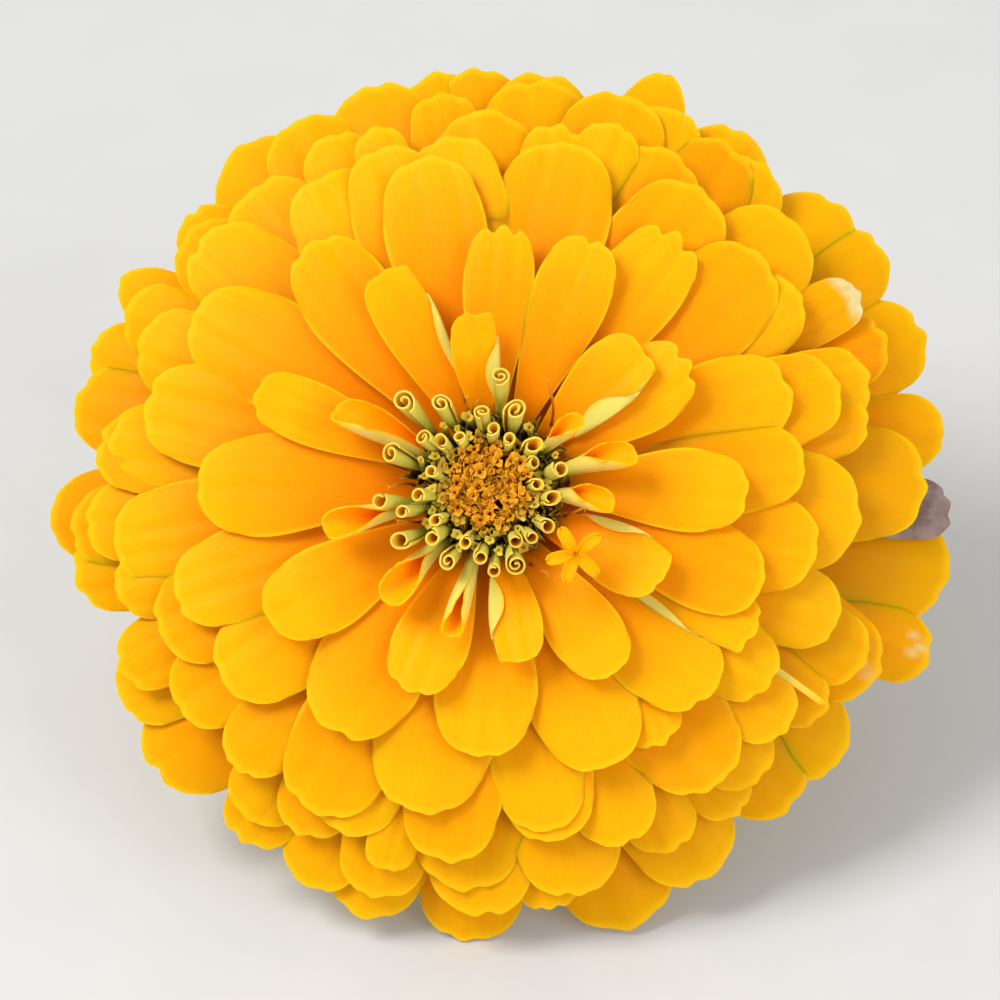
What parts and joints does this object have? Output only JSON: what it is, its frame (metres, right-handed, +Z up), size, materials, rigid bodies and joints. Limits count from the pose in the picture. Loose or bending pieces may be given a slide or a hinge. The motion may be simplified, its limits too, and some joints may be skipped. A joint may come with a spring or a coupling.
{
  "type": "zinnia flower",
  "caption": "Picked double yellow zinnia bloom on a short cut stem, lying on its lower petals and the stem's end, face turned up.",
  "frame": {"origin": "on the surface that the flower lies on, below the middle of its box", "axes": "+Z up; the face looks towards -Y and up at 45 degrees, the stem points to +Y and down"},
  "size_m": [0.1059, 0.0766, 0.0745],
  "materials": {
    "ray_petal": "soft petal, golden yellow with a deep orange base, satin",
    "young_petal": "rolled young petal, yellow-green with light yellow rims, satin",
    "disc": "orange fringed chaff with dark maroon gaps, matte",
    "bract": "green bract with a dark margin, matte",
    "stem": "green ribbed stem with short pale hairs, matte"
  },
  "bodies": {
    "root": {"ray_florets": "ray_petal", "young_rays": "young_petal", "disc_florets": "disc", "involucre": "bract", "stem": "stem"}
  },
  "joints": []
}
